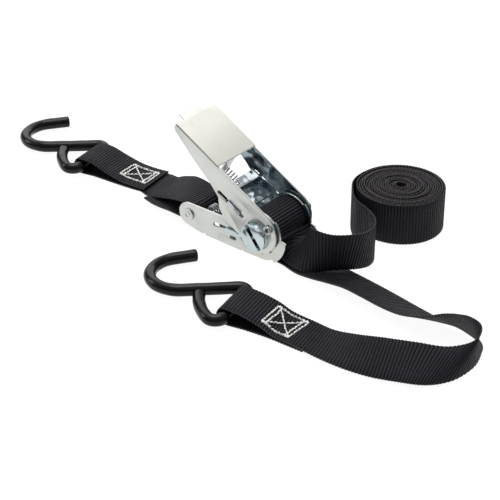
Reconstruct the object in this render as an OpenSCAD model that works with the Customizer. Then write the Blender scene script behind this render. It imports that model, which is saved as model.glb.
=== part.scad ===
// Ratchet strap: a light ratchet tie-down for 25 mm webbing, laid out on a table.
// The ratchet's length runs along X, its spindle along Y, and the table is at z = 0.

/* [Webbing] */
// Width of the webbing
web_w = 25.4; // [24:0.1:26]
// Thickness of the webbing
web_t = 1.3; // [1:0.1:1.6]
// Outer radius of the rolled tail
roll_r = 26.6; // [22:0.1:32]
// Radius of the open eye of the roll
roll_eye_r = 2.6; // [2:0.1:5]
// Outer radius of the webbing wound on the spindle
wound_r = 12.9; // [11:0.1:13.2]

/* [Ratchet] */
// Height of the spindle's axis above the table
spindle_z = 16; // [15.5:0.1:18]
// Radius of the two half-round spindle bars
spindle_r = 8.2; // [7.5:0.1:8.5]
// Width of the slot between the spindle bars
slot_w = 2.6; // [1.6:0.1:3]
// Distance from the spindle's axis to the fixed axle's axis
axle_x = 52; // [46:0.5:54]
// How far the fixed axle lies below the spindle's axis
axle_drop = 5; // [3:0.5:6]
// Radius of the fixed axle
axle_r = 2.5; // [2:0.1:3]
// Thickness of the frame's and the handle's steel plate
plate_t = 1.2; // [1.1:0.1:1.3]
// Clear width between the frame's side plates
frame_gap = 26.2; // [26.1:0.1:26.6]
// Teeth on each ratchet wheel
teeth = 12; // [12:12:24]
// Radius over the teeth of a ratchet wheel
wheel_r = 12.6; // [12:0.1:13]
// Angle of the handle above the frame
handle_rest = 30; // [26:1:34]
// Length of the handle from the spindle's axis
handle_len = 76; // [72:1:84]

/* [Hooks] */
// Diameter of the vinyl-coated hook wire
wire_d = 7.2; // [6.8:0.1:7.4]
// Diameter of the steel wire inside the coating
core_d = 5.6; // [5:0.1:6]
// Bend radius of the open hook, to the middle of the wire
hook_bend_r = 17.9; // [16:0.1:18]
// Straight length of the eye's bar, where the webbing loops on
bar_len = 25.8; // [25.4:0.1:27]

/* [Layout] */
// Place of the spindle's axis along X
ratchet_x = 31.53; // [20:0.1:40]
// Place of the ratchet's middle plane along Y
ratchet_y = -2.22; // [-8:0.1:12]
// Direction in which the rear hook's strap leaves it, from +X
rear_turn = 9; // [0:1:12]
// Direction in which the front hook's strap leaves it, from +X
front_turn = 11; // [0:1:14]

/* [Hidden] */
$fn = 48;

zinc = "silver";
webbing = [0.13, 0.13, 0.16];
vinyl = [0.06, 0.06, 0.06];

// Stack of plates outwards from the middle plane: frame, wheel, handle
frame_in = frame_gap / 2;
frame_out = frame_in + plate_t;
wheel_t = 1.2;
wheel_in = frame_out + 0.15;
wheel_out = wheel_in + wheel_t;
handle_in = wheel_out + 0.15;
handle_out = handle_in + plate_t;
spindle_half_len = handle_out + 3.4;
hole_r = spindle_r + 0.05;
axle_z = spindle_z - axle_drop;
sleeve_r = 4.2;

// Frame outline, from the spindle's axis
frame_foot = 15.6;
cam_r = 15.4;
hub_r = 13.9;
lobe_r = 18.4;
frame_left_r = 7.2;
web_x0 = -38;
web_x1 = -15;

// Pawls: a base pawl in the frame's slots and a handle pawl in the handle's slots
pawl_t = 2.2;
pawl_slot_w = 2.7;
base_slot_x0 = -33.5;
base_slot_x1 = -12.2;
base_slot_z = -5;
base_pawl_len = 15.2;
base_pawl_tip = -10.3;
handle_slot_a0 = 12.2;
handle_slot_a1 = 33.5;
handle_slot_p = 2.6;
handle_pawl_tip = 12.95;
handle_pawl_len = 14;

// Handle outline in its own frame: a runs from the spindle to the grip, p across
handle_top = 15.8;
handle_hub_r = 13.4;
grip_a0 = 41;

// Gap between the hook's bar and the webbing looped round it
hook_gap = 0.4;
hook_z = wire_d / 2 + hook_gap + web_t + 0.1;
loop_r = wire_d / 2 + hook_gap + web_t / 2;

// Hook outline in its own plane: angles of the bends, counted from +X
function on_circle(c, r, a) = [c[0] + r * cos(a), c[1] + r * sin(a)];
bar_shift = -0.6;
eye_far_r = 5.2;
eye_near_r = 4.8;
curl_r = 45;
eye_a1 = 120;
eye_a2 = 235;
curl_a = 203;
shank_len = 29.8;
hook_a0 = eye_a1 + 180;
hook_a1 = 132;
tip_len = 12.5;
wire_sides = 16;
eye_c1 = [-eye_far_r, bar_shift + bar_len / 2];
eye_c2 = [-eye_near_r, bar_shift - bar_len / 2];
curl_c = on_circle(eye_c2, eye_near_r - curl_r, eye_a2);
shank_0 = on_circle(eye_c1, eye_far_r, eye_a1);
shank_1 = on_circle(shank_0, shank_len, eye_a1 + 90);
hook_c = on_circle(shank_1, hook_bend_r, eye_a1);
tip_0 = on_circle(hook_c, hook_bend_r, hook_a1);

// Points [x, y, heading] round a bend, from angle a0 to a1
function bend(c, r, a0, a1, n) = [
    for (i = [0:n])
        let (a = a0 + (a1 - a0) * i / n, p = on_circle(c, r, a))
        [p[0], p[1], a1 > a0 ? a + 90 : a - 90]
];

// Path of the hook's wire from a way before the tip's end to the open end of the eye
function path_from(tip) = concat(
    [
        let (p = on_circle(tip_0, tip, hook_a1 - 90))
        [p[0], p[1], hook_a1 + 90]
    ],
    bend(hook_c, hook_bend_r, hook_a1, hook_a0, 16),
    bend(eye_c1, eye_far_r, eye_a1, 0, 9),
    bend(eye_c2, eye_near_r, 360, eye_a2, 9),
    bend(curl_c, curl_r, eye_a2 - 4, curl_a, 6)
);
hook_path = path_from(tip_len);
core_path = path_from(tip_len - 2);
// The far end of the open hook rests on the table
hook_tilt = asin((hook_z - wire_d / 2 - 0.02) / (hook_bend_r - hook_c[0]));

rear_bar = [-153.6, 11.4, hook_z];
front_bar = [26.5, -68.1, hook_z];
roll_at = [39, 68.5];

// ---- Routes of the webbing: [x, y, z, direction of the width line, its tilt] ----

// Points of a half turn round a bar, from angle a0 to a1 measured from straight up
function turn(at, heading, r, a0, a1, n) = [
    for (i = [0:n])
        let (a = a0 + (a1 - a0) * i / n)
        [
            at[0] - r * sin(a) * cos(heading),
            at[1] - r * sin(a) * sin(heading),
            at[2] + r * cos(a),
            heading + 90,
            0
        ]
];

// Points [distance, offset, height, width direction, tilt] laid out along a heading
function lay(at, heading, points) = [
    for (p = points)
        [
            at[0] + p[0] * cos(heading) - p[1] * sin(heading),
            at[1] + p[0] * sin(heading) + p[1] * cos(heading),
            p[2],
            p[3],
            p[4]
        ]
];

short_top_ply = [
    [50, -3.2, 3.7, 98, 3],
    [42, -2.6, 3.4, 98, 2],
    [31, -1.5, 3.6, 98, 2],
    [19, -0.4, 6.1, 98, 1],
    [8, 0, 9.6, 99, 0]
];
short_under_ply = [
    [10, 0, 0.9, 99, 0],
    [24, -1.1, 0.9, 98, 1],
    [40, -2.4, 1.2, 98, 2]
];
short_arch = [
    [-104, 15.8, 2, 98, 3],
    [-95, 13, 3.6, 97, 4],
    [-85, 10, 8, 96, 5],
    [-74, 5.8, 12.6, 93, 7],
    [-62, 1.6, 15.7, 90, 3]
];
short_return = [
    [-60, 0, 6.4, 90, 1],
    [-70, 1.4, 6.2, 91, 2],
    [-80, 4.3, 4.5, 88, 3],
    [-87, 6.8, 2.9, 82, 2],
    [-93.5, 9.2, 1.8, 80, 1]
];
load_end_ply = [
    [48, -4.6, 0.72, 99, 0],
    [38, -2.9, 0.72, 99, 0],
    [26, -1, 0.74, 100, 0],
    [12, 0, 0.75, 101, 0]
];
load_top_ply = [
    [10, 0, 8.8, 101, 0],
    [20, 0, 5.8, 101, 1]
];
load_run = [
    [55.5, -63.9, 2.9, 102, 2],
    [68.3, -63.9, 2.6, 100, 1],
    [82.3, -64.5, 2.5, 102, 3],
    [97.3, -63.9, 3.6, 105, 12],
    [112.8, -62, 5.4, 108, 21],
    [128.2, -58.1, 6.9, 105, 23],
    [142.7, -53.2, 8.1, 90, 26],
    [152.4, -45.6, 11.2, 73, 50],
    [154.3, -35.7, 15.1, 64, 83],
    [148.5, -27.4, 15.8, 60, 111],
    [143, -22.2, 13.7, 59, 123],
    [137.5, -19, 11.6, 61, 129],
    [131.4, -17.4, 10, 65, 136],
    [124.2, -17, 8.5, 71, 146],
    [115.3, -17.5, 6.8, 74, 152],
    [104.8, -16.5, 5.6, 76, 159],
    [92.2, -14.4, 5, 78, 162],
    [78.5, -11.8, 4.8, 79, 163],
    [64.7, -9.3, 4.4, 81, 164],
    [51.4, -7.5, 3.3, 83, 169],
    [38.8, -5.6, 2, 85, 175],
    [26.7, -3.1, 1, 88, 180],
    [14, 0, 1, 90, 180],
    [0, 0, 1.7, 90, 180]
];
tail_run = [
    [13.9, 0, 16.5, 90, 0],
    [15.2, -0.3, 13.2, 92, 6],
    [18.2, -2, 11.6, 95, 18],
    [23, -5.6, 12.4, 99, 40],
    [29, -9.2, 14.4, 104, 62],
    [36.5, -9.9, 15.8, 108, 84],
    [43.5, -7, 16, 112, 98],
    [49.8, -1, 15.8, 116, 103],
    [54, 7, 14.8, 126, 102],
    [55, 16, 13.8, 140, 96],
    [51.8, 24, 13.4, 150, 91],
    [45.6, 30, 13.2, 152, 90],
    [37.8, 34.2, 13, 146, 90],
    [29, 38.1, 13, 134, 90],
    [22.4, 44.2, 13, 126, 90],
    [17.1, 51.4, 13, 118, 90]
];

rear_route = concat(
    lay(rear_bar, rear_turn, short_top_ply),
    turn(rear_bar, rear_turn, loop_r, 0, 180, 4),
    lay(rear_bar, rear_turn, short_under_ply),
    short_arch,
    turn([-axle_x, 0, axle_z], 0, sleeve_r + web_t / 2 + 0.3, 0, -180, 4),
    short_return
);
front_route = concat(
    lay(front_bar, front_turn, load_end_ply),
    turn(front_bar, front_turn, loop_r, 180, 0, 4),
    lay(front_bar, front_turn, load_top_ply),
    load_run
);

// A smooth curve through the route's points, with n steps between neighbours
function curve(p, n) = concat(
    [
        for (i = [0:len(p) - 2])
            let (a = p[max(i - 1, 0)], b = p[i], c = p[i + 1], d = p[min(i + 2, len(p) - 1)])
            for (k = [0:n - 1])
                let (t = k / n)
                0.5 * (2 * b + (c - a) * t + (2 * a - 5 * b + 4 * c - d) * t * t
                    + (3 * b - a - 3 * c + d) * t * t * t)
    ],
    [p[len(p) - 1]]
);

function place_of(q) = [q[0], q[1], q[2]];
function unit(v) = v / norm(v);
function width_line(q) = [cos(q[4]) * cos(q[3]), cos(q[4]) * sin(q[3]), sin(q[4])];

// Four corners of the webbing's cross-section at step i of a smooth route.
// A square section is turned to stand at right angles to the route
function corners(q, i, squared) =
    let (
        last = len(q) - 1,
        along = unit(place_of(q[min(i + 1, last)]) - place_of(q[max(i - 1, 0)])),
        up = unit(cross(along, width_line(q[i]))),
        side = squared ? cross(up, along) : width_line(q[i]),
        c = place_of(q[i]),
        w = side * web_w / 2,
        t = up * web_t / 2
    )
    [c + w + t, c - w + t, c - w - t, c + w - t];

// Closed solid through a row of rings that all have the same number of points
module skin(rings) {
    k = len(rings[0]);
    n = len(rings);
    walls = [
        for (i = [0:n - 2], j = [0:k - 1])
            let (a = k * i + j, b = k * i + (j + 1) % k)
            each [[a, b, b + k], [a, b + k, a + k]]
    ];
    first = [for (j = [0:k - 1]) k - 1 - j];
    last = [for (j = [0:k - 1]) k * (n - 1) + j];
    polyhedron(
        points = [for (ring = rings) each ring],
        faces = concat(walls, [first, last]),
        convexity = 10
    );
}

// Webbing swept along a route
module webbing_strip(route, steps, squared = true) {
    q = curve(route, steps);
    skin([for (i = [0:len(q) - 1]) corners(q, i, squared)]);
}

// ---- Helpers ----

module on_table() {
    translate([ratchet_x, ratchet_y, 0])
        children();
}

// Ratchet parts are drawn from the spindle's axis
module at_spindle() {
    on_table()
        translate([0, 0, spindle_z])
            children();
}

// Handle parts are drawn with the handle level, along -X
module in_handle() {
    at_spindle()
        rotate([0, handle_rest, 0])
            children();
}

// A plate outline drawn in X and Z, standing from y0 to y1
module standing(y0, y1) {
    translate([0, y1, 0])
        rotate([90, 0, 0])
            linear_extrude(height = y1 - y0)
                children();
}

// A round bar along Y
module bar_y(x, z, r, y0, y1) {
    translate([x, y1, z])
        rotate([90, 0, 0])
            cylinder(h = y1 - y0, r = r);
}

function arc(cx, cz, r, a0, a1, n) =
    [for (i = [0:n]) [cx + r * cos(a0 + (a1 - a0) * i / n), cz + r * sin(a0 + (a1 - a0) * i / n)]];

module slot_2d(x0, x1, z, w) {
    translate([x0 + w / 2, z - w / 2])
        square([x1 - x0 - w, w]);
    translate([x0 + w / 2, z])
        circle(r = w / 2);
    translate([x1 - w / 2, z])
        circle(r = w / 2);
}

// Compression spring along X: separate rings joined by a thin back strip
module spring(x0, x1, r, wire_r, turns) {
    pitch = (x1 - x0 - 2 * wire_r) / (turns - 1);
    for (i = [0:turns - 1])
        translate([x0 + wire_r + i * pitch, 0, 0])
            rotate([0, 90, 0])
                rotate_extrude()
                    translate([r, 0])
                        circle(r = wire_r, $fn = 16);
    translate([x0 + wire_r, 0, -r])
        rotate([0, 90, 0])
            cylinder(h = x1 - x0 - 2 * wire_r, r = wire_r * 0.8, $fn = 16);
}

// ---- Frame ----

module frame_side_2d() {
    left = arc(-axle_x, -axle_drop, frame_left_r, 95, 262, 12);
    foot = [
        [-41.5, -frame_foot + 1.2],
        [-40.5, -frame_foot + 2.2],
        [-39, -frame_foot + 1],
        [-13.5, -frame_foot],
        [-12.5, -frame_foot + 1],
        [-11, -frame_foot + 0.2],
        [-6, -frame_foot + 0.1]
    ];
    lobe = arc(1.5, -0.2, 15.4, 262, 300, 6);
    nose = arc(0, 0, lobe_r, 305, 357, 9);
    cam = arc(0, 0, cam_r, 0, 44, 7);
    hub = arc(0, 0, hub_r, 46, 168, 16);
    top = [[-15, 2.3], [-19, 2.1], [-30, 1.8]];
    difference() {
        polygon(concat(left, foot, lobe, nose, cam, hub, top));
        circle(r = hole_r);
        translate([-axle_x, -axle_drop])
            circle(r = axle_r + 0.03);
        slot_2d(base_slot_x0, base_slot_x1, base_slot_z, pawl_slot_w);
        slot_2d(-21.5, -16.5, -9.4, 2.2);
    }
}

module frame() {
    web_z = -frame_foot + 1;
    color(zinc) at_spindle() {
        standing(-frame_out, -frame_in)
            frame_side_2d();
        standing(frame_in, frame_out)
            frame_side_2d();
        // Floor web between the side plates
        translate([web_x0, -frame_in, web_z])
            cube([web_x1 - web_x0, frame_gap, plate_t]);
        // Spring seat bent up from the floor web
        translate([web_x0, -4, web_z + plate_t])
            cube([plate_t, 8, frame_foot - 1 - plate_t + base_slot_z + 2.6]);
    }
}

module fixed_axle() {
    color(zinc) at_spindle() {
        bar_y(-axle_x, -axle_drop, axle_r, -frame_out - 0.9, frame_out + 0.9);
        bar_y(-axle_x, -axle_drop, 3.6, -frame_out - 0.9, -frame_out);
        bar_y(-axle_x, -axle_drop, 3.6, frame_out, frame_out + 0.9);
    }
}

module axle_sleeve() {
    color(zinc) at_spindle()
        difference() {
            bar_y(-axle_x, -axle_drop, sleeve_r, -frame_in + 0.15, frame_in - 0.15);
            bar_y(-axle_x, -axle_drop, axle_r + 0.05, -frame_in, frame_in);
        }
}

module base_pawl() {
    x0 = base_pawl_tip - base_pawl_len;
    pawl_body = base_pawl_len - 3.4;
    color(zinc) at_spindle() {
        // Body between the side plates
        translate([x0, -frame_in + 0.3, base_slot_z - pawl_t / 2])
            cube([pawl_body, frame_gap - 0.6, pawl_t]);
        // Necks through the slots
        translate([x0 + 2, -wheel_out, base_slot_z - pawl_t / 2])
            cube([pawl_body - 2, 2 * wheel_out, pawl_t]);
        // Noses that drop between the wheels' teeth
        for (side = [-1, 1])
            translate([x0 + 2, side > 0 ? wheel_in : -wheel_out, base_slot_z - pawl_t / 2])
                cube([base_pawl_len - 2, wheel_t, pawl_t]);
        // Tongue that guides the spring
        translate([x0 - 2.4, -1, base_slot_z - 0.9])
            cube([2.5, 2, 1.8]);
    }
}

module base_pawl_spring() {
    color(zinc) at_spindle()
        translate([0, 0, base_slot_z])
            spring(web_x0 + plate_t + 0.1, base_pawl_tip - base_pawl_len - 0.1, 2.1, 0.35, 6);
}

// ---- Handle ----

module handle_side_2d() {
    difference() {
        polygon(concat(
            arc(-1, 2.4, handle_hub_r, 90, -118, 20),
            [[-12.5, -9.5], [-22, -9], [-27.5, -6], [-31.5, -0.5], [-40, 2.6]],
            [[-57, 6.6], [-handle_len + 2, 11.6], [-handle_len, 13.4], [-handle_len, handle_top]]
        ));
        circle(r = hole_r);
        slot_2d(-handle_slot_a1, -handle_slot_a0, handle_slot_p, pawl_slot_w);
    }
}

module handle() {
    color(zinc) in_handle() {
        standing(-handle_out, -handle_in)
            handle_side_2d();
        standing(handle_in, handle_out)
            handle_side_2d();
        // Bridge between the sides, under the grip
        translate([-handle_len, -handle_in, handle_top - plate_t])
            cube([handle_len - grip_a0 - 1, 2 * handle_in, plate_t]);
        // End tab
        translate([-handle_len - 5.2, -8, handle_top - plate_t - 1.2])
            cube([5.2, 16, plate_t]);
        translate([-handle_len - 0.6, -8, handle_top - plate_t - 1.2])
            cube([2, 16, plate_t]);
        // Spring seat bent down from the bridge
        translate([-grip_a0 - 3, -4, 0])
            cube([plate_t, 8, handle_top - plate_t / 2]);
    }
}

module handle_cover() {
    color([0.87, 0.87, 0.83]) in_handle()
        translate([-handle_len + 0.2, -handle_out, handle_top + 0.02])
            cube([handle_len - grip_a0, 2 * handle_out, 0.9]);
}

module handle_pawl() {
    tail_a = handle_pawl_tip + handle_pawl_len;
    color(zinc) in_handle() {
        translate([-tail_a, -handle_in + 0.3, handle_slot_p - pawl_t / 2])
            cube([handle_pawl_len - 2.2, 2 * handle_in - 0.6, pawl_t]);
        // Necks through the handle's slots
        translate([-tail_a + 2, -handle_out - 0.8, handle_slot_p - pawl_t / 2])
            cube([handle_pawl_len - 4.2, 2 * handle_out + 1.6, pawl_t]);
        // Noses that drop between the wheels' teeth
        for (side = [-1, 1])
            translate([-tail_a + 2, side > 0 ? wheel_in : -wheel_out, handle_slot_p - pawl_t / 2])
                cube([handle_pawl_len - 2, wheel_t, pawl_t]);
        // Finger lip that is pulled to free the wheels
        translate([-tail_a, -11, handle_slot_p])
            cube([1.6, 22, 8.4]);
        translate([-tail_a - 4.4, -8, handle_slot_p + 6.8])
            cube([5, 16, 1.6]);
        translate([-tail_a - 2.4, -1, handle_slot_p - 0.9])
            cube([2.5, 2, 1.8]);
    }
}

module handle_pawl_spring() {
    color(zinc) in_handle()
        translate([0, 0, handle_slot_p])
            spring(-grip_a0 - 3 + plate_t + 0.1, -handle_pawl_tip - handle_pawl_len - 0.1, 2.1, 0.35, 7);
}

// ---- Spindle ----

module spindle_half(turned) {
    at_spindle()
        rotate([0, 52 + turned, 0])
            difference() {
                bar_y(0, 0, spindle_r, -spindle_half_len, spindle_half_len);
                translate([-spindle_r - 1, -spindle_half_len - 1, -spindle_r - 1])
                    cube([2 * spindle_r + 2, 2 * spindle_half_len + 2, spindle_r + 1 + slot_w / 2]);
                for (side = [-1, 1])
                    translate([0, side * (handle_out + 1.7), -1])
                        cylinder(h = spindle_r + 2, r = 1.15);
            }
}

module spindle_half_a() {
    color(zinc)
        spindle_half(0);
}

module spindle_half_b() {
    color(zinc)
        spindle_half(180);
}

module ratchet_wheel(side) {
    root_r = wheel_r - 2.6;
    color(zinc) at_spindle()
        standing(side > 0 ? wheel_in : -wheel_out, side > 0 ? wheel_out : -wheel_in)
            difference() {
                polygon([
                    for (i = [0:teeth - 1])
                        let (a = i * 360 / teeth + 9)
                        each [
                            [wheel_r * cos(a), wheel_r * sin(a)],
                            [wheel_r * cos(a + 4), wheel_r * sin(a + 4)],
                            [root_r * cos(a + 6), root_r * sin(a + 6)],
                            [root_r * cos(a + 23), root_r * sin(a + 23)]
                        ]
                ]);
                circle(r = hole_r);
            }
}

module ratchet_wheel_near() {
    ratchet_wheel(-1);
}

module ratchet_wheel_far() {
    ratchet_wheel(1);
}

// Split pin through both spindle bars, just outside the handle's plate
module split_pin(side) {
    pin_r = 1.1;
    reach = spindle_r + 1.4;
    color(zinc) at_spindle()
        rotate([0, 52, 0])
            translate([0, side * (handle_out + 1.7), 0]) {
                translate([0, 0, -reach])
                    cylinder(h = 2 * reach, r = pin_r);
                translate([0, 0, reach + 1.6])
                    rotate([90, 0, 0])
                        rotate_extrude()
                            translate([1.9, 0])
                                circle(r = 0.75, $fn = 16);
                translate([0, 0, -reach])
                    rotate([0, 90, 0])
                        translate([0, 0, -3])
                            cylinder(h = 6, r = 0.75, $fn = 16);
            }
}

module split_pin_near() {
    split_pin(-1);
}

module split_pin_far() {
    split_pin(1);
}

module wound_webbing() {
    color(webbing) at_spindle()
        difference() {
            bar_y(0, 0, wound_r, -web_w / 2, web_w / 2);
            bar_y(0, 0, spindle_r + 0.05, -web_w, web_w);
        }
}

// ---- Hooks ----

// Ring of the hook's wire round a point [x, y, heading] of its path
function wire_ring(p, r) = [
    for (j = [0:wire_sides - 1])
        let (t = j * 360 / wire_sides)
        [p[0] + r * cos(t) * sin(p[2]), p[1] - r * cos(t) * cos(p[2]), r * sin(t)]
];

module hook_core() {
    skin([for (p = core_path) wire_ring(p, core_d / 2)]);
}

// The coating closes over the hook's tip and leaves the eye's end open
module hook_coating() {
    bore_r = core_d / 2 + 0.03;
    outside = [for (p = hook_path) wire_ring(p, wire_d / 2)];
    inside = [for (i = [len(core_path) - 1:-1:0]) wire_ring(core_path[i], bore_r)];
    skin(concat(outside, inside));
}

// Puts a hook on the table with its bar in the webbing's loop
module placed_hook(bar, heading) {
    on_table()
        translate(bar)
            rotate([0, -hook_tilt, heading])
                children();
}

module rear_hook_core() {
    color(zinc)
        placed_hook(rear_bar, rear_turn)
            hook_core();
}

module rear_hook_coating() {
    color(vinyl)
        placed_hook(rear_bar, rear_turn)
            hook_coating();
}

module front_hook_core() {
    color(zinc)
        placed_hook(front_bar, front_turn)
            hook_core();
}

module front_hook_coating() {
    color(vinyl)
        placed_hook(front_bar, front_turn)
            hook_coating();
}

// ---- Webbing ----

module short_strap() {
    color(webbing)
        on_table()
            webbing_strip(rear_route, 3);
}

module load_strap() {
    color(webbing)
        on_table()
            webbing_strip(front_route, 3, squared = false);
}

module tail_strap() {
    color(webbing)
        on_table()
            webbing_strip(tail_run, 3);
}

module strap_roll() {
    color(webbing)
        on_table()
            translate([roll_at[0], roll_at[1], 0])
                difference() {
                    cylinder(h = web_w, r = roll_r);
                    translate([0, 0, -1])
                        cylinder(h = web_w + 2, r = roll_eye_r);
                }
}

frame();
fixed_axle();
axle_sleeve();
base_pawl();
base_pawl_spring();
handle();
handle_cover();
handle_pawl();
handle_pawl_spring();
spindle_half_a();
spindle_half_b();
ratchet_wheel_near();
ratchet_wheel_far();
split_pin_near();
split_pin_far();
wound_webbing();
rear_hook_core();
rear_hook_coating();
front_hook_core();
front_hook_coating();
short_strap();
load_strap();
tail_strap();
strap_roll();
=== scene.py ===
import bpy, bmesh, math
import numpy as np
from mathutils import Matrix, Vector


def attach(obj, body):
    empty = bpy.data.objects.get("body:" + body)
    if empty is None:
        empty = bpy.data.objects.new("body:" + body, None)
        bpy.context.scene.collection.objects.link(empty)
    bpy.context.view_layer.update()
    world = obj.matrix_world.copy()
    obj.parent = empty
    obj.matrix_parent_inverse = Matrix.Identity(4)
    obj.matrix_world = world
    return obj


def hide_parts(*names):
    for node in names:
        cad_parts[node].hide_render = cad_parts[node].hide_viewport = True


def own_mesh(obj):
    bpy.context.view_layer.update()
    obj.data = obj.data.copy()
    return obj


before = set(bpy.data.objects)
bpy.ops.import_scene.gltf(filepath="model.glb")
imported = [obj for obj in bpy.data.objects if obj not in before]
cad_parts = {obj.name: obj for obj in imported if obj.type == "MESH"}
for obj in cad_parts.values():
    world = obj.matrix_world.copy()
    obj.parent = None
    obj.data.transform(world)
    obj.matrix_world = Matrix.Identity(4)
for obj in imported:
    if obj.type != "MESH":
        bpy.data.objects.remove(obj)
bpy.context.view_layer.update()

# Lengths are in millimetres unless a comment says otherwise, and MM takes them to metres.
MM = 0.001

# The spindle's axis. Routes and small parts are given from the point on the table under it.
SPINDLE_X, SPINDLE_Y, SPINDLE_Z = 31.53, -2.22, 16.0

# Webbing: width, thickness, pitch of its ribs, and the step between cross-sections.
WEB_W, WEB_T = 25.4, 1.3
RIB_PITCH = 1.8
STEP = 0.29

# Fixed axle, the radius of the short strap's turn round its sleeve, and how far from the
# middle plane the rings on the axle's heads lie.
AXLE_X, AXLE_Z = -52.0, 11.0
SLEEVE_TURN_R = 5.15
RIVET_Y = 15.3

# Angle of the handle above the frame in degrees, and how far from the middle plane the frame's
# and the handle's plates have their inner faces.
HANDLE_ANGLE = 30
FRAME_INNER, HANDLE_INNER = 13.1, 15.8

# Hooks: height of the wire's middle at the eye, the middle of each eye's bar, the heading in
# which the strap leaves it, and the radius of the strap's turn round the bar.
HOOK_Z = 5.4
REAR_BAR, REAR_HEADING = (-153.6, 11.4, HOOK_Z), 9.0
FRONT_BAR, FRONT_HEADING = (26.5, -68.1, HOOK_Z), 11.0
BAR_TURN_R = 4.65

# Roll of spare webbing: middle, outer radius, radius of the open eye, pitch of its turns, and
# the radius of the outer turn's centre line.
ROLL_AT, ROLL_Z = (39.0, 68.5), 12.95
ROLL_R, ROLL_EYE_R, ROLL_PITCH = 26.9, 3.0, 1.36
ROLL_OUTER = ROLL_R - WEB_T / 2


# ------------------------------------------------------------------ camera
def aim(thing, place, target):
    """Stands a camera or a light at a place and turns it to a target, both in metres."""
    thing.location = place
    thing.rotation_euler = (Vector(target) - Vector(place)).to_track_quat("-Z", "Y").to_euler()


def metres(point):
    """A point given from under the spindle's axis, in metres."""
    return ((point[0] + SPINDLE_X) * MM, (point[1] + SPINDLE_Y) * MM, point[2] * MM)


camera_data = bpy.data.cameras.new("camera")
camera_data.lens = 111.6
camera_data.sensor_width = 36.0
camera_data.clip_start = 0.05
camera_data.clip_end = 20
camera = bpy.data.objects.new("camera", camera_data)
bpy.context.scene.collection.objects.link(camera)
aim(camera, metres((466.6, -609.2, 442.0)), metres((-10.0, -10.05, 0.0)))
bpy.context.scene.camera = camera


# ------------------------------------------------------------------ node helpers
def fill_ramp(ramp, stops):
    """Sets a colour ramp's stops, each a position and a colour."""
    while len(ramp.elements) < len(stops):
        ramp.elements.new(0.5)
    for element, (position, colour) in zip(ramp.elements, stops):
        element.position = position
        element.color = colour + (1,)


class Nodes:
    """Short calls for building one material's node tree."""

    def __init__(self, name):
        self.material = bpy.data.materials.new(name)
        self.material.use_nodes = True
        self.tree = self.material.node_tree
        self.shader = self.tree.nodes["Principled BSDF"]

    def add(self, kind, **settings):
        node = self.tree.nodes.new(kind)
        for key, value in settings.items():
            setattr(node, key, value)
        return node

    def link(self, source, socket):
        self.tree.links.new(source, socket)

    def feed(self, **sources):
        """Links outputs to the shader's sockets. An underscore stands for a space."""
        for key, source in sources.items():
            self.link(source, self.shader.inputs[key.replace("_", " ")])

    def set(self, **values):
        """Sets constants on the shader's own sockets. An underscore stands for a space."""
        for key, value in values.items():
            self.shader.inputs[key.replace("_", " ")].default_value = value

    def math(self, operation, a, b=None, clamp=False):
        """One sum on outputs or numbers."""
        node = self.add("ShaderNodeMath", operation=operation, use_clamp=clamp)
        for socket, value in zip(node.inputs, (a, b)):
            if isinstance(value, (int, float)):
                socket.default_value = value
            elif value is not None:
                self.link(value, socket)
        return node.outputs[0]

    def weigh(self, a, share_a, b, share_b):
        """a * share_a + b * share_b"""
        return self.math("ADD", self.math("MULTIPLY", a, share_a), self.math("MULTIPLY", b, share_b))

    def crowns(self, value, pitch):
        """A row of round crowns from 0 to 1, one to each pitch."""
        turn = self.math("MULTIPLY", value, math.pi / pitch)
        return self.math("ABSOLUTE", self.math("SINE", turn))

    def noise(self, scale, detail, rough=0.55, stretch=(1, 1, 1)):
        """Noise in the object's own coordinates, in metres."""
        coords = self.add("ShaderNodeTexCoord")
        mapping = self.add("ShaderNodeMapping")
        mapping.inputs["Scale"].default_value = stretch
        self.link(coords.outputs["Object"], mapping.inputs["Vector"])
        node = self.add("ShaderNodeTexNoise")
        node.inputs["Scale"].default_value = scale
        node.inputs["Detail"].default_value = detail
        node.inputs["Roughness"].default_value = rough
        self.link(mapping.outputs["Vector"], node.inputs["Vector"])
        return node.outputs["Fac"]

    def ramp(self, value, stops):
        node = self.add("ShaderNodeValToRGB")
        fill_ramp(node.color_ramp, stops)
        self.link(value, node.inputs["Fac"])
        return node.outputs["Color"]

    def mix(self, share, a, b):
        """From colour a to colour b. Each is an output or a plain colour."""
        node = self.add("ShaderNodeMix", data_type="RGBA")
        self.link(share, node.inputs["Factor"])
        for socket, colour in ((node.inputs["A"], a), (node.inputs["B"], b)):
            if isinstance(colour, tuple):
                socket.default_value = colour + (1,)
            else:
                self.link(colour, socket)
        return node.outputs["Result"]

    def span(self, value, start, end, low=0.0, high=1.0):
        """Takes values between low and high to values between start and end."""
        node = self.add("ShaderNodeMapRange")
        node.inputs["From Min"].default_value = low
        node.inputs["From Max"].default_value = high
        node.inputs["To Min"].default_value = start
        node.inputs["To Max"].default_value = end
        self.link(value, node.inputs["Value"])
        return node.outputs["Result"]

    def bump(self, height, strength, distance, normal=None):
        """Bump over an earlier one, if there is one. Its distance is in metres."""
        node = self.add("ShaderNodeBump")
        node.inputs["Strength"].default_value = strength
        node.inputs["Distance"].default_value = distance
        self.link(height, node.inputs["Height"])
        if normal is not None:
            self.link(normal, node.inputs["Normal"])
        return node.outputs["Normal"]


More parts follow.
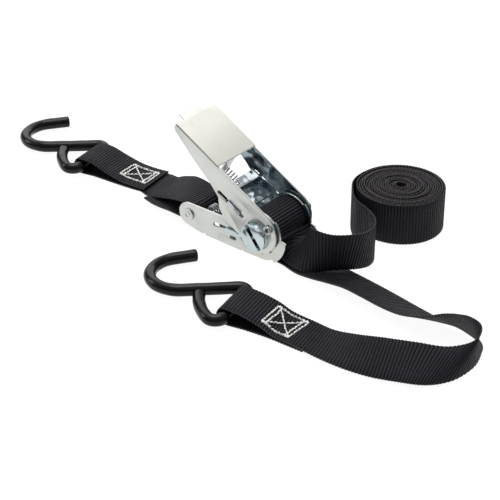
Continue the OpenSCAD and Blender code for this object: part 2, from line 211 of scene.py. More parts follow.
# ------------------------------------------------------------------ materials
def webbing_material():
    """Ribbed black polyester webbing.

    The weave is drawn in the coordinates that each strap carries: X across it and Y along it.
    """
    yarn_pitch = 1.45
    # The groove colour is painted shade and the crown colour is a painted highlight.
    groove_shade = (0.0005, 0.0004, 0.0006)
    crown_highlight = (0.0225, 0.0195, 0.0290)
    middle = tuple((a + b) / 2 for a, b in zip(groove_shade, crown_highlight))
    # Painted highlight for the edges of the webbing, where they catch the light.
    lit_edge = (0.078, 0.070, 0.069)
    m = Nodes("webbing_ribbed")
    weave = m.add("ShaderNodeAttribute", attribute_name="weave")
    parts = m.add("ShaderNodeSeparateXYZ")
    m.link(weave.outputs["Vector"], parts.inputs[0])
    across = parts.outputs["X"]

    # The ribs waver slightly, and every other row of yarns is shifted by half a yarn.
    waver = m.math("SUBTRACT", m.noise(300.0, 2.0), 0.5)
    along = m.math("ADD", parts.outputs["Y"], m.math("MULTIPLY", waver, 0.35))
    rib = m.crowns(along, RIB_PITCH)
    row = m.math("FLOOR", m.math("DIVIDE", along, RIB_PITCH))
    shift = m.math("MULTIPLY", m.math("MODULO", row, 2.0), yarn_pitch / 2)
    yarn = m.crowns(m.math("ADD", across, shift), yarn_pitch)
    height = m.weigh(rib, 0.55, m.math("MULTIPLY", rib, yarn), 0.45)

    # Painted shade between the yarns and a painted highlight on their crowns, with fuzz and blotches, and
    # a lighter painted highlight along the edges where they catch the light.
    fuzz = m.noise(2600.0, 3.0, 0.7)
    blotch = m.math("SUBTRACT", m.noise(45.0, 3.0), 0.5)
    tone = m.weigh(height, 0.55, fuzz, 0.35)
    tone = m.math("ADD", tone, m.math("MULTIPLY", blotch, 0.5), clamp=True)
    cloth = m.ramp(tone, [(0.26, groove_shade), (0.48, middle), (0.80, crown_highlight)])
    # Painted highlight along both edges of the strap, broken up by the fuzz.
    selvedge = m.span(m.math("ABSOLUTE", across), 0.0, 1.0, WEB_W / 2 - 0.4, WEB_W / 2 - 0.05)
    lit_edge_share = m.math("MULTIPLY", selvedge, m.span(fuzz, 0.25, 1.0, 0.3, 0.65))
    m.feed(Base_Color=m.mix(lit_edge_share, cloth, lit_edge))

    m.feed(Roughness=m.span(m.weigh(m.noise(700.0, 2.0), 0.5, fuzz, 0.5), 0.66, 0.44, 0.3, 0.7))
    m.feed(Normal=m.bump(fuzz, 0.25, 0.00015, m.bump(height, 1.0, 0.0004)))
    m.set(Specular_IOR_Level=0.15, Sheen_Weight=0.024, Sheen_Roughness=0.4)
    m.set(Sheen_Tint=(0.82, 0.76, 1.0, 1))
    return m.material


def zinc_material(name, base, tint, rough, grime, bump=0.1, scratch=0.0, wavy=0.0):
    """Zinc-plated steel: slight clouding from base to tint, a fine grain and darker marks.

    rough is the range of its roughness, and the rest are strengths from 0 to 1. scratch draws
    fine lines along Y, and wavy bends the reflections of a thin plate.
    """
    dirt = (0.16, 0.15, 0.13)
    m = Nodes(name)
    cloud = m.noise(60.0, 4.0)
    grain = m.noise(900.0, 2.0)
    mark = m.span(m.noise(170.0, 5.0, 0.7), 0.0, grime, 0.6, 0.78)
    m.feed(Base_Color=m.mix(mark, m.mix(cloud, base, tint), dirt))
    m.feed(Roughness=m.span(m.weigh(cloud, 0.6, grain, 0.4), *rough, 0.3, 0.7))
    normal = m.bump(grain, bump, 0.00006)
    if scratch:
        normal = m.bump(m.noise(700.0, 2.0, stretch=(1, 0.06, 1)), scratch, 0.00008, normal)
    if wavy:
        normal = m.bump(m.noise(130.0, 1.0), wavy, 0.0016, normal)
    m.feed(Normal=normal)
    m.set(Metallic=1.0, Specular_IOR_Level=0.5)
    return m.material


def vinyl_material():
    """Black dipped vinyl over the hook's wire, with a faint orange peel and dull marks."""
    m = Nodes("dipped_vinyl")
    dull = m.noise(90.0, 4.0, 0.65)
    dust = m.noise(1500.0, 3.0, 0.8)
    black = m.ramp(dull, [(0.35, (0.0016, 0.0012, 0.0010)), (0.7, (0.0060, 0.0048, 0.0042))])
    m.feed(Base_Color=black)
    m.feed(Roughness=m.span(m.weigh(dull, 0.7, dust, 0.3), 0.14, 0.33, 0.35, 0.7))
    m.feed(Normal=m.bump(m.noise(420.0, 2.0), 0.16, 0.0003))
    m.set(Specular_IOR_Level=0.20, Coat_Weight=0.05, Coat_Roughness=0.10)
    return m.material


def thread_material():
    """Twisted off-white sewing thread."""
    m = Nodes("thread")
    twist = m.noise(1800.0, 2.0)
    soil = m.noise(260.0, 4.0)
    m.feed(Base_Color=m.ramp(soil, [(0.3, (0.78, 0.76, 0.72)), (0.55, (0.97, 0.96, 0.94))]))
    m.feed(Normal=m.bump(twist, 0.6, 0.0002))
    m.feed(Roughness=m.span(twist, 0.65, 0.9))
    m.set(Sheen_Weight=0.3)
    return m.material


WEBBING = webbing_material()
ZINC = zinc_material(
    "zinc_satin", (0.63, 0.635, 0.60), (0.52, 0.535, 0.515), rough=(0.24, 0.42), grime=0.35, bump=0.12)
COVER = zinc_material(
    "zinc_cover", (0.78, 0.768, 0.718), (0.73, 0.72, 0.672), rough=(0.64, 0.76), grime=0.10, bump=0.08)
BRIGHT = zinc_material(
    "zinc_bright", (0.62, 0.68, 0.68), (0.40, 0.49, 0.52), rough=(0.08, 0.22), grime=0.5,
    scratch=0.3, wavy=0.35)
# A darker copy of the zinc: painted shade for the inner faces of the plates.
INNER_SHADE = zinc_material(
    "zinc_inner_shade", (0.36, 0.43, 0.46), (0.19, 0.26, 0.30), rough=(0.10, 0.24), grime=0.5,
    scratch=0.3, wavy=0.5)
PAWL = zinc_material(
    "zinc_pawl", (0.54, 0.57, 0.58), (0.38, 0.44, 0.47), rough=(0.10, 0.22), grime=0.5,
    scratch=0.3, wavy=0.9)
# Near-black strip that stands in for the shade in the groove along the grip.
SEAM_SHADE = zinc_material(
    "seam_gap_shade", (0.09, 0.09, 0.085), (0.05, 0.05, 0.05), rough=(0.5, 0.7), grime=0.1)
SPRING = zinc_material(
    "spring_wire", (0.50, 0.51, 0.51), (0.38, 0.39, 0.40), rough=(0.25, 0.4), grime=0.2,
    bump=0.05, scratch=0.2)
VINYL = vinyl_material()
THREAD = thread_material()


# ------------------------------------------------------------------ mesh helpers
def new_piece(name, mesh):
    piece = bpy.data.objects.new(name, mesh)
    bpy.context.scene.collection.objects.link(piece)
    return piece


def new_mesh(name, points, faces, material, smooth=True, weave=None):
    """A piece from points and faces. weave is each point's woven coordinates."""
    mesh = bpy.data.meshes.new(name)
    mesh.from_pydata([tuple(point) for point in np.asarray(points) * MM], [], faces)
    mesh.update()
    if weave is not None:
        attribute = mesh.attributes.new("weave", "FLOAT_VECTOR", "POINT")
        attribute.data.foreach_set("vector", np.asarray(weave, np.float32).ravel())
    mesh.materials.append(material)
    for face in mesh.polygons:
        face.use_smooth = smooth
    return new_piece(name, mesh)


def place(piece, slot, body, *nodes):
    """Hangs a piece on the body that it rides on and hides the CAD nodes that it replaces; slot is not
    used.
    """
    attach(piece, body)
    if nodes:
        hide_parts(*nodes)
    return piece


def tube_faces(rings, around):
    """Quads through a row of rings of points, and a face over each end."""
    faces = []
    for i in range(rings - 1):
        for j in range(around):
            a, b = i * around + j, i * around + (j + 1) % around
            faces.append((a, b, b + around, a + around))
    faces.append(list(range(around - 1, -1, -1)))
    faces.append([around * (rings - 1) + j for j in range(around)])
    return faces


def unit(vectors):
    return vectors / np.linalg.norm(vectors, axis=1)[:, None]


def run_of(points):
    """The unit direction of a path at each of its points."""
    return unit(np.gradient(points, axis=0))


def distances(points):
    """How far along a path each of its points is."""
    return np.r_[0, np.cumsum(np.linalg.norm(np.diff(points, axis=0), axis=1))]


# ------------------------------------------------------------------ routes, as in the CAD
# A route's point is (x, y, z, heading of the strap's width line, lift of that line), with both
# angles in degrees. ROUTE_STEPS is the number of steps from one point to the next.
ROUTE_STEPS = 24


def turn(bar, heading, radius, start, end):
    """A strap's turn round a bar, from one angle to another in four steps. 0 is on top."""
    h = math.radians(heading)
    points = []
    for degrees in np.linspace(start, end, 5):
        a = math.radians(degrees)
        back = radius * math.sin(a)
        x, y = bar[0] - back * math.cos(h), bar[1] - back * math.sin(h)
        points.append((x, y, bar[2] + radius * math.cos(a), heading + 90, 0))
    return points


def lay(bar, heading, points):
    """Points whose x and y are given along a heading from a bar."""
    c, s = math.cos(math.radians(heading)), math.sin(math.radians(heading))
    return [(bar[0] + x * c - y * s, bar[1] + x * s + y * c, *rest) for x, y, *rest in points]


def smooth_route(points):
    """A smooth curve through a route's points."""
    p = np.array(points, float)
    curve = []
    for i in range(len(p) - 1):
        a, b, c, d = p[max(i - 1, 0)], p[i], p[i + 1], p[min(i + 2, len(p) - 1)]
        square = 2 * a - 5 * b + 4 * c - d
        cube = 3 * b - a - 3 * c + d
        for k in range(ROUTE_STEPS):
            t = k / ROUTE_STEPS
            curve.append(0.5 * (2 * b + (c - a) * t + square * t * t + cube * t ** 3))
    curve.append(p[-1])
    return np.array(curve)


def distance_to(route, index):
    """How far along a route its point number index is."""
    return distances(smooth_route(route)[:, :3])[index * ROUTE_STEPS]


def centre_line(route, step=STEP):
    """A route in equal steps: its centres, its width lines and how far along each centre is."""
    curve = smooth_route(route)
    far = distances(curve[:, :3])
    along = np.linspace(0, far[-1], max(int(round(far[-1] / step)), 8) + 1)
    even = np.stack([np.interp(along, far, column) for column in curve.T], 1)
    heading, lift = np.radians(even[:, 3]), np.radians(even[:, 4])
    widths = [np.cos(lift) * np.cos(heading), np.cos(lift) * np.sin(heading), np.sin(lift)]
    return even[:, :3], np.stack(widths, 1), along


def strip_frames(centres, widths, squared=True):
    """A strip's width lines and face normals. squared turns the width lines square to its run."""
    run = run_of(centres)
    normals = unit(np.cross(run, widths))
    if squared:
        widths = np.cross(normals, run)
    return widths, normals


rear_route = (
    lay(REAR_BAR, REAR_HEADING, [
        (50, -3.2, 3.7, 98, 3), (42, -2.6, 3.4, 98, 2), (31, -1.5, 3.6, 98, 2),
        (19, -0.4, 6.1, 98, 1), (8, 0, 9.6, 99, 0)])
    + turn(REAR_BAR, REAR_HEADING, BAR_TURN_R, 0, 180)
    + lay(REAR_BAR, REAR_HEADING, [(10, 0, 0.9, 99, 0), (24, -1.1, 0.9, 98, 1), (40, -2.4, 1.2, 98, 2)])
    + [(-104, 15.8, 2, 98, 3), (-95, 13, 3.6, 97, 4), (-85, 10, 8, 96, 5), (-74, 5.8, 12.6, 93, 7),
       (-62, 1.6, 15.7, 90, 3)]
    + turn((AXLE_X, 0, AXLE_Z), 0, SLEEVE_TURN_R, 0, -180)
    + [(-60, 0, 6.4, 90, 1), (-70, 1.4, 6.2, 91, 2), (-80, 4.3, 4.5, 88, 3), (-87, 6.8, 2.9, 82, 2),
       (-93.5, 9.2, 1.8, 80, 1)]
)
front_route = (
    lay(FRONT_BAR, FRONT_HEADING, [
        (48, -4.6, 0.72, 99, 0), (38, -2.9, 0.72, 99, 0), (26, -1, 0.74, 100, 0), (12, 0, 0.75, 101, 0)])
    + turn(FRONT_BAR, FRONT_HEADING, BAR_TURN_R, 180, 0)
    + lay(FRONT_BAR, FRONT_HEADING, [(10, 0, 8.8, 101, 0), (20, 0, 5.8, 101, 1)])
    + [(55.5, -63.9, 2.9, 102, 2), (68.3, -63.9, 2.6, 100, 1), (82.3, -64.5, 2.5, 102, 3),
       (97.3, -63.9, 3.6, 105, 12), (112.8, -62, 5.4, 108, 21), (128.2, -58.1, 6.9, 105, 23),
       (142.7, -53.2, 8.1, 90, 26), (152.4, -45.6, 11.2, 73, 50), (154.3, -35.7, 15.1, 64, 83),
       (148.5, -27.4, 15.8, 60, 111), (143, -22.2, 13.7, 59, 123), (137.5, -19, 11.6, 61, 129),
       (131.4, -17.4, 10, 65, 136), (124.2, -17, 8.5, 71, 146), (115.3, -17.5, 6.8, 74, 152),
       (104.8, -16.5, 5.6, 76, 159), (92.2, -14.4, 5, 78, 162), (78.5, -11.8, 4.8, 79, 163),
       (64.7, -9.3, 4.4, 81, 164), (51.4, -7.5, 3.3, 83, 169), (38.8, -5.6, 2, 85, 175),
       (26.7, -3.1, 1, 88, 180), (14, 0, 1, 90, 180), (0, 0, 1.7, 90, 180)]
)
tail_route = [
    (13.9, 0, 16.5, 90, 0), (15.2, -0.3, 13.2, 92, 6), (18.2, -2, 11.6, 95, 18), (23, -5.6, 12.4, 99, 40),
    (29, -9.2, 14.4, 104, 62), (36.5, -9.9, 15.8, 108, 84), (43.5, -7, 16, 112, 98),
    (49.8, -1, 15.8, 116, 103), (54, 7, 14.8, 126, 102), (55, 16, 13.8, 140, 96),
    (51.8, 24, 13.4, 150, 91), (45.6, 30, 13.2, 152, 90), (37.8, 34.2, 13, 146, 90),
    (29, 38.1, 13, 134, 90), (22.4, 44.2, 13, 126, 90), (17.1, 51.4, 13, 118, 90),
]


# ------------------------------------------------------------------ webbing
def webbing(name, centres, widths, normals, along, thick):
    """Ribbed webbing with scalloped edges, swept along its centres."""
    flat_columns, rib_depth, scallop, slack = 12, 0.17, 0.36, 0.10
    rib = np.abs(np.sin(along * math.pi / RIB_PITCH)) ** 0.7
    half_t = thick / 2 - rib_depth * (1 - rib)
    half_w = WEB_W / 2 - slack + scallop * (rib - 0.55)

    # One cross-section, as shares of half the width and half the thickness: the upper face,
    # a rounded edge, the lower face and the other edge.
    flat = np.linspace(1, -1, flat_columns + 1)[2:-2] * 0.965
    upper, lower = [0.955, *flat, -0.955], [-0.955, *flat[::-1], 0.955]
    ring_w = np.array(upper + [-0.985, -1.0, -0.985] + lower + [0.985, 1.0, 0.985])
    ring_t = np.array([1.0] * len(upper) + [0.72, 0.0, -0.72] + [-1.0] * len(lower) + [-0.72, 0.0, 0.72])

    out = widths[:, None, :] * (ring_w[None, :, None] * half_w[:, None, None])
    up = normals[:, None, :] * (ring_t[None, :, None] * half_t[:, None, None])
    points = centres[:, None, :] + out + up + [SPINDLE_X, SPINDLE_Y, 0]
    weave = np.zeros(points.shape)
    weave[:, :, 0] = ring_w * WEB_W / 2
    weave[:, :, 1] = along[:, None]
    faces = tube_faces(len(centres), len(ring_w))
    return new_mesh(name, points.reshape(-1, 3), faces, WEBBING, weave=weave.reshape(-1, 3))


def strap(name, line, body, nodes, squared=True, thick=WEB_T):
    """One length of webbing on its centre line."""
    centres, widths, along = line
    widths, normals = strip_frames(centres, widths, squared)
    piece = place(webbing(name, centres, widths, normals, along, thick), "webbing", body, *nodes)


def roll_angles():
    """Angles round the roll from its outer end inwards, closer together where its face shows."""
    shown, hidden_step = 2 * math.pi * 1.3, 0.575
    angles = [0.0]
    while True:
        angle = angles[-1]
        radius = ROLL_OUTER - ROLL_PITCH * angle / (2 * math.pi)
        if radius < ROLL_EYE_R:
            return np.array(angles)
        angles.append(angle + (STEP if angle < shown else hidden_step) / radius)


def tail_line():
    """Centre line of the tail: from the spindle to the roll, and on round it.

    The roll is wound clockwise as seen from above, from its outer turn inwards.
    """
    centres, widths, _ = centre_line(tail_route)
    widths, _ = strip_frames(centres, widths)
    end_x, end_y = centres[-1][0] - ROLL_AT[0], centres[-1][1] - ROLL_AT[1]
    angle = roll_angles()

    # The tail eases onto the spiral, and the turns are slightly out of round.
    radius = ROLL_OUTER - ROLL_PITCH * angle / (2 * math.pi)
    ease = np.clip(angle / 0.9, 0, 1)
    radius += (math.hypot(end_x, end_y) - ROLL_OUTER) * (1 - ease * ease * (3 - 2 * ease))
    oval = 0.22 * np.sin(2 * angle + 0.6)
    three_sided = 0.14 * np.sin(3 * angle + 2.1) * np.clip(radius / ROLL_R, 0, 1)
    radius += (oval + three_sided) * np.clip(angle / 3, 0, 1)

    # The edges of the turns lie at slightly different heights, and the inner ones stand higher.
    lift = 0.5 * np.sin(angle * 0.77 + 1.0) + 0.4 * np.sin(angle * 0.31) + 0.2 * np.sin(angle * 2.3)
    lift = (lift + 0.55 * np.clip(angle / 40, 0, 1)) * np.clip(angle / 4, 0, 1)
    bearing = math.atan2(end_y, end_x) - angle
    x = ROLL_AT[0] + radius * np.cos(bearing)
    y = ROLL_AT[1] + radius * np.sin(bearing)
    turns = np.stack([x, y, ROLL_Z + lift * 0.55], 1)

    # The width line turns upright over the first part of the outer turn.
    upright = np.clip(angle / 0.7, 0, 1)[:, None]
    turn_widths = widths[-1] * (1 - upright) + np.array([0, 0, 1.0]) * upright
    centres = np.vstack([centres, turns[1:]])
    return centres, np.vstack([widths, turn_widths[1:]]), distances(centres)


def wound_line():
    """Centre line of the webbing wound on the spindle, from the slot outwards."""
    turns, inner_r, outer_r, pitch, mean_r = 3.35, 8.95, 12.15, 1.0032, 10.5
    angle = np.arange(0, 2 * math.pi * turns, STEP / mean_r)
    radius = np.minimum(inner_r + pitch * angle / (2 * math.pi), outer_r)
    x, z = radius * np.cos(angle), SPINDLE_Z + radius * np.sin(angle)
    centres = np.stack([x, np.zeros_like(x), z], 1)
    return centres, np.tile([0, 1.0, 0], (len(centres), 1)), distances(centres)


strap("short_strap_webbing", centre_line(rear_route), "base", ["short_strap"])
strap("load_strap_webbing", centre_line(front_route), "base", ["load_strap"],
      squared=False)
strap("tail_webbing", tail_line(), "base", ["tail_strap", "strap_roll"], thick=1.16)
strap("wound_layers", wound_line(), "spindle", ["wound_webbing"],
      squared=False, thick=1.0)


# ------------------------------------------------------------------ hooks
WIRE_R = 3.6
BEND_R = 17.9


def on_circle(centre, radius, degrees):
    a = math.radians(degrees)
    return (centre[0] + radius * math.cos(a), centre[1] + radius * math.sin(a))


def hook_path():
    """Middle of the hook's wire, laid flat with the eye's bar along Y through the origin.

    It runs from the open tip round the bend, down the shank and round the eye to its curled
    end. The second result is the middle of the bend.
    """
    far_r, near_r, curl_r, shank = 5.2, 4.8, 45.0, 29.8
    tip_angle, shank_angle, curl_start, curl_end = 132, 120, 235, 203
    far, near = (-far_r, 12.3), (-near_r, -13.5)
    shank_eye = on_circle(far, far_r, shank_angle)
    shank_bend = on_circle(shank_eye, shank, shank_angle + 90)
    bend = on_circle(shank_bend, BEND_R, shank_angle)
    tip = on_circle(bend, BEND_R, tip_angle)
    curl = on_circle(near, near_r - curl_r, curl_start)
    path = [on_circle(tip, d, tip_angle - 90) for d in (12.5, 9, 6, 3)]
    path += [on_circle(bend, BEND_R, a) for a in np.linspace(tip_angle, shank_angle + 180, 36)]
    path += [on_circle(shank_bend, d, shank_angle - 90) for d in (4, 9, 14, 19, 24)]
    path += [on_circle(far, far_r, a) for a in np.linspace(shank_angle, 0, 18)]
    path += [(0, y) for y in (9, 4.5, 0, -4.5, -9)]
    path += [on_circle(near, near_r, a) for a in np.linspace(360, curl_start, 20)]
    path += [on_circle(curl, curl_r, a) for a in np.linspace(curl_start - 2, curl_end, 16)]
    return np.array(path), bend


def hook(name, bar, heading, body, *nodes):
    """Coated wire with rounded ends and a slightly uneven coat, clear of the table by a hair."""
    rings, around = 230, 28
    coat_r, end_r, clearance = 3.52, 0.9, 0.02
    rough_path, bend = hook_path()
    far = distances(rough_path)
    along = np.linspace(0, far[-1], rings)
    path = np.stack([np.interp(along, far, column) for column in rough_path.T], 1)
    for _ in range(3):
        path[1:-1] = (path[:-2] + 2 * path[1:-1] + path[2:]) / 4
    run = run_of(path)

    radius = coat_r + 0.05 * np.sin(along * 0.21) + 0.04 * np.sin(along * 0.53 + 1)
    to_end = np.minimum(np.minimum(along, along[-1] - along), end_r)
    radius += np.sqrt(end_r ** 2 - (end_r - to_end) ** 2) - end_r
    a = np.linspace(0, 2 * math.pi, around, endpoint=False)
    out, up = radius[:, None] * np.cos(a), radius[:, None] * np.sin(a)
    x = path[:, :1] + out * run[:, 1:]
    y = path[:, 1:] - out * run[:, :1]

    # The eye is held up by the webbing, so the hook tips down to rest its bend on the table.
    tip = math.asin((HOOK_Z - WIRE_R - clearance) / (BEND_R - bend[0]))
    x, z = x * math.cos(tip) - up * math.sin(tip), x * math.sin(tip) + up * math.cos(tip)
    h = math.radians(heading)
    world_x = x * math.cos(h) - y * math.sin(h) + bar[0] + SPINDLE_X
    world_y = x * math.sin(h) + y * math.cos(h) + bar[1] + SPINDLE_Y
    points = np.stack([world_x, world_y, z + HOOK_Z], 2).reshape(-1, 3)
    place(new_mesh(name, points, tube_faces(rings, around), VINYL), "vinyl", body, *nodes)


hook("rear_hook_vinyl", REAR_BAR, REAR_HEADING, "rear_hook", "rear_hook_coating", "rear_hook_core")
hook("front_hook_vinyl", FRONT_BAR, FRONT_HEADING, "front_hook", "front_hook_coating", "front_hook_core")


# ------------------------------------------------------------------ box stitching
def box_lines(long, wide):
    """A sewn box with a cross and a few doubled rows, as pairs of (along, across) ends."""
    x, y = long / 2, wide / 2
    return [
        ((-x, -y), (x, -y)), ((x, -y), (x, y)), ((x, y), (-x, y)), ((-x, y), (-x, -y)),
        ((-x, -y), (x, y)), ((-x, y), (x, -y)),
        ((-x + 0.6, -y + 0.7), (x - 0.8, -y + 0.6)), ((x - 0.7, y - 0.7), (-x + 0.8, y - 0.6)),
        ((x - 2.6, -y), (x - 2.4, y)), ((-x + 2.2, y), (-x + 2.6, -y)),
    ]


def sewing(name, route, middle, lines, seed):
    """Stitches on a strap's upper face, along lines about a place on its route.

    middle is how far along the route that place is. Each stitch is thread that comes out of
    the webbing, arches over it and goes in again.
    """
    thread_r, pitch, unevenness = 0.60, 2.3, 0.14
    sunk, rise = -0.32, 0.62
    rings, around = 7, 6
    draw = np.random.default_rng(seed)
    centres, widths, along = centre_line(route, 0.25)
    widths, normals = strip_frames(centres, widths)
    up = 1.0 if normals[np.argmin(abs(along - middle))][2] > 0 else -1.0
    points, faces = [], []

    def on_face(spot, height):
        """The place at a spot (along, across) on the strap, at a height over its face."""
        k = int(np.interp(middle + spot[0], along, np.arange(len(along))))
        return centres[k] + widths[k] * spot[1] + normals[k] * up * (WEB_T / 2 + height)

    def stitch(start, end):
        base = len(points)
        for i in range(rings):
            f = i / (rings - 1)
            arch = math.sin(math.pi * f)
            spot = start * (1 - f) + end * f
            height = sunk + rise * arch ** 0.5
            reach = (end - start) * 0.02
            run = on_face(spot + reach, height) - on_face(spot - reach, height)
            run /= np.linalg.norm(run)
            side = np.cross(run, [0, 0, 1.0])
            side /= np.linalg.norm(side)
            over = np.cross(side, run)
            radius = thread_r * (0.55 + 0.45 * arch)
            for j in range(around):
                a = 2 * math.pi * j / around
                rim = side * radius * math.cos(a) + over * radius * 0.8 * math.sin(a)
                points.append(on_face(spot, height) + rim + [SPINDLE_X, SPINDLE_Y, 0])
        for face in tube_faces(rings, around):
            faces.append([base + k for k in face])

    for line in lines:
        a, b = np.array(line)
        count = max(int(round(np.linalg.norm(b - a) / pitch)), 2)
        for i in range(count):
            stray = draw.normal(0, unevenness, 4)
            start, end = a + (b - a) * (i + 0.01) / count, a + (b - a) * (i + 0.99) / count
            stitch(start + stray[:2], end + stray[2:])
    place(new_mesh(name, points, faces, THREAD), "webbing", "base")


# Each box is placed from a point where the strap's upper ply is 8 or 10 mm from the eye's bar:
# number 4 of the rear route, which runs towards the bar, and number 9 of the front route.
sewing("rear_stitching", rear_route, distance_to(rear_route, 4) - 29.5, box_lines(20.0, 15.0), seed=3)
sewing("front_stitching", front_route, distance_to(front_route, 9) + 20.5, box_lines(19.0, 18.0), seed=5)


# ------------------------------------------------------------------ metal
def metal(node, body, material, slot="zinc", edge=0.22, segments=2, inner=None):
    """A steel part from the CAD's own shape, with its edges rounded by edge.

    Faces that look inwards at a distance of inner from the middle plane get a darker copy of the zinc,
    painted shade for the space between the plates.
    """
    same_place, same_plane, sharp_angle, crease = 0.002, 1.0, 35, 40
    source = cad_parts[node]
    bm = bmesh.new()
    bm.from_mesh(source.data)
    bmesh.ops.transform(bm, matrix=source.matrix_world, verts=bm.verts)
    bmesh.ops.remove_doubles(bm, verts=bm.verts, dist=same_place * MM)
    bmesh.ops.dissolve_limit(
        bm, angle_limit=math.radians(same_plane), verts=bm.verts, edges=bm.edges)
    bmesh.ops.recalc_face_normals(bm, faces=bm.faces)
    if edge:
        limit = math.radians(sharp_angle)
        sharp = [e for e in bm.edges if len(e.link_faces) == 2 and e.calc_face_angle(0) > limit]
        bmesh.ops.bevel(
            bm, geom=sharp, offset=edge * MM, offset_type="OFFSET", segments=segments,
            profile=0.5, affect="EDGES", clamp_overlap=True)
    mesh = bpy.data.meshes.new(node + "_steel")
    bm.to_mesh(mesh)
    bm.free()
    for face in mesh.polygons:
        face.use_smooth = True
    mesh.set_sharp_from_angle(angle=math.radians(crease))
    mesh.materials.append(material)
    if inner is not None:
        # Painted shade: faces looking into the gap between the plates take the darker copy.
        mesh.materials.append(INNER_SHADE)
        for face in mesh.polygons:
            y = face.center.y - SPINDLE_Y * MM
            at_inner = abs(abs(y) - inner * MM) < 0.2 * MM
            if at_inner and face.normal.y * y < 0 and abs(face.normal.y) > 0.9:
                face.material_index = 1
    place(new_piece(node + "_steel", mesh), slot, body, node)


metal("frame", "base", ZINC, inner=FRAME_INNER)
metal("fixed_axle", "base", ZINC, edge=0.35)
metal("axle_sleeve", "base", BRIGHT, edge=0.2)
metal("base_pawl", "base_pawl", BRIGHT)
metal("handle", "handle", ZINC, inner=HANDLE_INNER)
metal("handle_cover", "handle", COVER, slot="cover", edge=0.4, segments=3)
metal("handle_pawl", "handle_pawl", PAWL)
for half in ("a", "b"):
    metal("spindle_half_" + half, "spindle", BRIGHT, edge=0.3)
for side in ("near", "far"):
    metal("ratchet_wheel_" + side, "spindle", ZINC, edge=0.12)
for side in ("near", "far"):
    metal("split_pin_" + side, "spindle", SPRING, edge=0)


# ------------------------------------------------------------------ springs and small parts
def coil(name, start, end, turns, body, node):
    """A pawl's compression spring, with closed ends."""
    coil_r, wire_r, steps_per_turn, around = 2.1, 0.35, 22, 8
    start, end = Vector(start), Vector(end)
    axis = (end - start).normalized()
    side = axis.cross(Vector((0, 1, 0))).normalized()
    other = axis.cross(side)
    length = (end - start).length - 2 * wire_r
    steps = turns * steps_per_turn
    points = []
    for i in range(steps + 1):
        f = i / steps
        open_part = min(max((f - 0.1) / 0.8, 0), 1)
        a = f * turns * 2 * math.pi
        out = side * math.cos(a) + other * math.sin(a)
        middle = start + axis * (wire_r + length * (0.5 * open_part + 0.5 * f)) + out * coil_r
        for j in range(around):
            b = 2 * math.pi * j / around
            points.append(tuple(middle + out * wire_r * math.cos(b) + axis * wire_r * math.sin(b)))
    piece = new_mesh(name, points, tube_faces(steps + 1, around), SPRING)
    place(piece, "spring", body, node)
    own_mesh(piece)


def in_handle(out, above, y=0.0):
    """A point at a distance out from the spindle's axis along the handle, and above that line."""
    c, s = math.cos(math.radians(HANDLE_ANGLE)), math.sin(math.radians(HANDLE_ANGLE))
    return (SPINDLE_X - out * c + above * s, SPINDLE_Y + y, SPINDLE_Z + out * s + above * c)


def in_frame(x, z):
    """A point on the frame's middle plane, given from the spindle's axis."""
    return (SPINDLE_X + x, SPINDLE_Y, SPINDLE_Z + z)


def grip_gap_shade():
    """Painted shade: a dark strip in the groove where the cover's plate meets the handle's sides."""
    start, end, steps = 41.4, 75.6, 24
    below, above, plate_y, out_y = 15.62, 16.0, 16.9, 17.06
    points, faces = [], []
    for side in (-1, 1):
        base = len(points)
        for i in range(steps + 1):
            out = start + (end - start) * i / steps
            waver = 0.04 * math.sin(i * 1.7)
            points.append(in_handle(out, below, side * plate_y))
            points.append(in_handle(out, below, side * (out_y + waver * 0.3)))
            points.append(in_handle(out, above + waver, side * out_y))
            points.append(in_handle(out, above, side * plate_y))
        faces += [[base + k for k in face] for face in tube_faces(steps + 1, 4)]
    place(new_mesh("grip_gap_shade", points, faces, SEAM_SHADE, smooth=False), "zinc", "handle")


def rivet_ring(name, y):
    """A raised ring on the riveted head at an end of the fixed axle."""
    ring_r, tube_r, steps, around = 1.7, 0.22, 40, 10
    points, faces = [], []
    for i in range(steps):
        a = 2 * math.pi * i / steps
        for j in range(around):
            b = 2 * math.pi * j / around
            out = ring_r + tube_r * math.cos(b)
            x, z = AXLE_X + out * math.cos(a), AXLE_Z + out * math.sin(a)
            points.append((SPINDLE_X + x, SPINDLE_Y + y + tube_r * 0.7 * math.sin(b), z))
            here, after = i * around, (i + 1) % steps * around
            k = (j + 1) % around
            faces.append((here + j, here + k, after + k, after + j))
    place(new_mesh(name, points, faces, BRIGHT), "zinc", "base")


def return_spring():
    """Small return spring with its coils along Y, inside the frame's near plate."""
    turns, coil_r, wire_r, steps, around = 3.0, 3.0, 0.5, 84, 8
    x, y, z, long = -38.5, -10.0, 15.2, 6.0
    path = [(-33.5, -10.3, 11.9)]
    for i in range(steps + 1):
        a = 2 * math.pi * turns * i / steps
        path.append((x + coil_r * math.cos(a), y + long * i / steps, z + coil_r * math.sin(a)))
    path.append((-43.0, -3.8, 13.0))
    path = np.array(path)
    points = []
    for centre, run in zip(path, run_of(path)):
        side = np.cross(run, [0, 1.0, 0.1])
        side /= np.linalg.norm(side)
        other = np.cross(run, side)
        for j in range(around):
            b = 2 * math.pi * j / around
            rim = wire_r * (side * math.cos(b) + other * math.sin(b))
            points.append(centre + rim + [SPINDLE_X, SPINDLE_Y, 0])
    piece = new_mesh("return_spring_coil", points, tube_faces(len(path), around), SPRING)
    place(piece, "spring", "base")


# Each pawl's spring runs from its seat to the pawl.
coil("handle_pawl_coil", in_handle(42.7, 2.6), in_handle(27.05, 2.6), 8,
     "handle", "handle_pawl_spring")
coil("base_pawl_coil", in_frame(-36.7, -5), in_frame(-25.6, -5), 7,
     "base", "base_pawl_spring")
grip_gap_shade()
return_spring()
rivet_ring("rivet_ring_near", -RIVET_Y)
rivet_ring("rivet_ring_far", RIVET_Y)


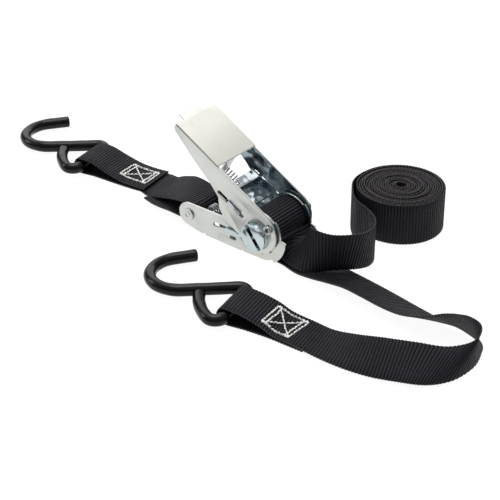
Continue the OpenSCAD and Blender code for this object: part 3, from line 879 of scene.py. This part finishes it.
# ------------------------------------------------------------------ floor, world and lights
# Everything in this section is in metres.
FLOOR_HALF, FLOOR_Z = 6, -0.0004
corners = [(-1, -1), (1, -1), (1, 1), (-1, 1)]
floor_mesh = bpy.data.meshes.new("floor")
floor_mesh.from_pydata([(x * FLOOR_HALF, y * FLOOR_HALF, FLOOR_Z) for x, y in corners], [], [(0, 1, 2, 3)])
floor = new_piece("floor", floor_mesh)
white = Nodes("floor_white")
white.set(Base_Color=(0.17, 0.17, 0.17, 1), Roughness=0.9, Specular_IOR_Level=0.0)
white.set(Emission_Color=(1, 1, 1, 1), Emission_Strength=0.94)
floor_mesh.materials.append(white.material)

# The world is darker below and lighter above, like a room round the table.
world = bpy.data.worlds.new("studio")
bpy.context.scene.world = world
world.use_nodes = True
room = world.node_tree
background = room.nodes["Background"]
room_coords = room.nodes.new("ShaderNodeTexCoord")
room_parts = room.nodes.new("ShaderNodeSeparateXYZ")
room_ramp = room.nodes.new("ShaderNodeValToRGB")
room.links.new(room_coords.outputs["Generated"], room_parts.inputs[0])
room.links.new(room_parts.outputs["Z"], room_ramp.inputs["Fac"])
room.links.new(room_ramp.outputs["Color"], background.inputs["Color"])
fill_ramp(room_ramp.color_ramp, [
    (0.0, (0.10, 0.13, 0.15)), (0.28, (0.13, 0.17, 0.19)),
    (0.55, (0.36, 0.38, 0.39)), (0.9, (0.62, 0.62, 0.62)),
])
background.inputs["Strength"].default_value = 1.0


def softbox(name, at, size, watts):
    light = bpy.data.lights.new(name, "AREA")
    light.shape = "RECTANGLE"
    light.size, light.size_y = size
    light.energy = watts
    aim(new_piece(name, light), at, (0, 0, 0.02))


softbox("back_softbox", (-0.80, 1.15, 0.95), (2.4, 1.4), 15.5)
softbox("top_softbox", (-0.3, 0.1, 1.4), (0.9, 0.9), 12.0)
softbox("left_softbox", (-1.2, -0.5, 0.55), (0.5, 0.6), 3.0)

scene = bpy.context.scene
scene.view_settings.view_transform = "Standard"
scene.view_settings.look = "None"
scene.view_settings.exposure = 0.0
